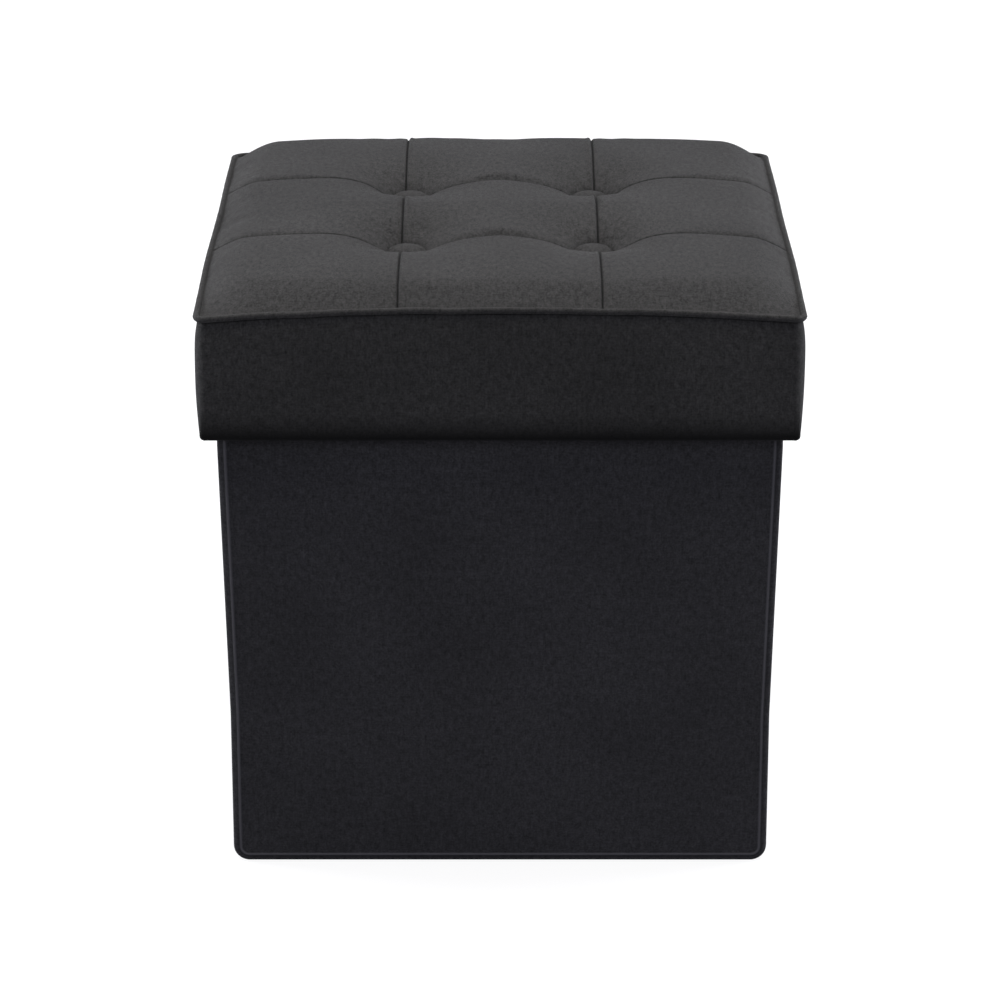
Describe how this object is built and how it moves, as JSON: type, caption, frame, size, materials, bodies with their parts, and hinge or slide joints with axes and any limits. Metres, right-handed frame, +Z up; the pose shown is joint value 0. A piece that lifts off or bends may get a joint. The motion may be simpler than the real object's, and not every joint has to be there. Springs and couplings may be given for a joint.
{
  "type": "storage ottoman",
  "caption": "Square fabric storage ottoman that folds flat, with a hinged floor board and a lift-off padded lid, button-tufted and piped.",
  "frame": {"origin": "centre of the footprint, on the ground", "axes": "+Z up, front (the plain face with the floor's hinge) facing -Y, +X to the right"},
  "size_m": [0.385, 0.385, 0.4],
  "materials": {
    "box_fabric": "matte",
    "lid_fabric": "matte",
    "lining_cloth": "matte",
    "ribbon": "satin",
    "fibreboard": "matte",
    "foam": "matte",
    "twine": "matte",
    "fastener_steel": "satin"
  },
  "bodies": {
    "front_wall": {"front_cover": "box_fabric", "front_board": "fibreboard", "front_lining": "lining_cloth", "front_left_gusset": "box_fabric", "front_right_gusset": "box_fabric", "floor_hinge_tape": "lining_cloth", "floor_cloth": "lining_cloth"},
    "left_front_panel": {"left_front_cover": "box_fabric", "left_front_board": "fibreboard", "left_front_lining": "lining_cloth", "left_front_hem": "box_fabric"},
    "left_rear_panel": {"left_rear_cover": "box_fabric", "left_rear_board": "fibreboard", "left_rear_lining": "lining_cloth", "left_rear_hem": "box_fabric"},
    "right_front_panel": {"right_front_cover": "box_fabric", "right_front_board": "fibreboard", "right_front_lining": "lining_cloth", "right_front_hem": "box_fabric"},
    "right_rear_panel": {"right_rear_cover": "box_fabric", "right_rear_board": "fibreboard", "right_rear_lining": "lining_cloth", "right_rear_hem": "box_fabric"},
    "back_wall": {"back_cover": "box_fabric", "back_board": "fibreboard", "back_lining": "lining_cloth", "back_hem": "box_fabric", "back_left_gusset": "box_fabric", "back_right_gusset": "box_fabric"},
    "floor": {"floor_board": "fibreboard", "floor_wrap": "lining_cloth", "floor_ribbon": "ribbon"},
    "lid": {"lid_plate": "fibreboard", "lid_front_rail": "fibreboard", "lid_back_rail": "fibreboard", "lid_left_rail": "fibreboard", "lid_right_rail": "fibreboard", "lid_nails": "fastener_steel", "lid_staples": "fastener_steel", "lid_foam": "foam", "lid_top_cover": "lid_fabric", "lid_band": "lid_fabric", "lid_welt": "lid_fabric", "lid_lining": "lining_cloth", "tuft_button_front_left": "lid_fabric", "tuft_button_front_right": "lid_fabric", "tuft_button_back_left": "lid_fabric", "tuft_button_back_right": "lid_fabric", "tuft_twine_front_left": "twine", "tuft_twine_front_right": "twine", "tuft_twine_back_left": "twine", "tuft_twine_back_right": "twine", "tuft_anchor_front_left": "fastener_steel", "tuft_anchor_front_right": "fastener_steel", "tuft_anchor_back_left": "fastener_steel", "tuft_anchor_back_right": "fastener_steel"}
  },
  "joints": [
    {"name": "lid_lift", "type": "slide", "parent": "front_wall", "child": "lid", "axis": [0, 0, 1], "range_m": [0, 0.25]},
    {"name": "floor_lift", "type": "hinge", "parent": "front_wall", "child": "floor", "pos_m": [0, -0.1646, 0.0035], "axis": [1, 0, 0], "range_deg": [0, 90]},
    {"name": "wall_fold", "type": "hinge", "parent": "front_wall", "child": "right_front_panel", "pos_m": [0.169, -0.162, 0], "axis": [0, 0, 1], "range_deg": [0, 88], "deforming": ["left_front_hem", "left_rear_hem", "right_front_hem", "right_rear_hem", "back_hem", "floor_cloth"]},
    {"name": "right_crease", "type": "hinge", "parent": "right_front_panel", "child": "right_rear_panel", "pos_m": [0.177, 0, 0], "axis": [0, 0, 1], "range_deg": [-176, 0]},
    {"name": "left_fold", "type": "hinge", "parent": "front_wall", "child": "left_front_panel", "pos_m": [-0.169, -0.162, 0], "axis": [0, 0, 1], "range_deg": [-88, 0]},
    {"name": "left_crease", "type": "hinge", "parent": "left_front_panel", "child": "left_rear_panel", "pos_m": [-0.177, 0, 0], "axis": [0, 0, 1], "range_deg": [0, 176]},
    {"name": "back_corner", "type": "hinge", "parent": "left_rear_panel", "child": "back_wall", "pos_m": [-0.169, 0.162, 0], "axis": [0, 0, 1], "range_deg": [-88, 0]}
  ],
  "couplings": [
    {"joint": "right_crease", "follows": "wall_fold", "ratio": -2},
    {"joint": "left_fold", "follows": "wall_fold", "ratio": -1},
    {"joint": "left_crease", "follows": "wall_fold", "ratio": 2},
    {"joint": "back_corner", "follows": "wall_fold", "ratio": -1}
  ]
}
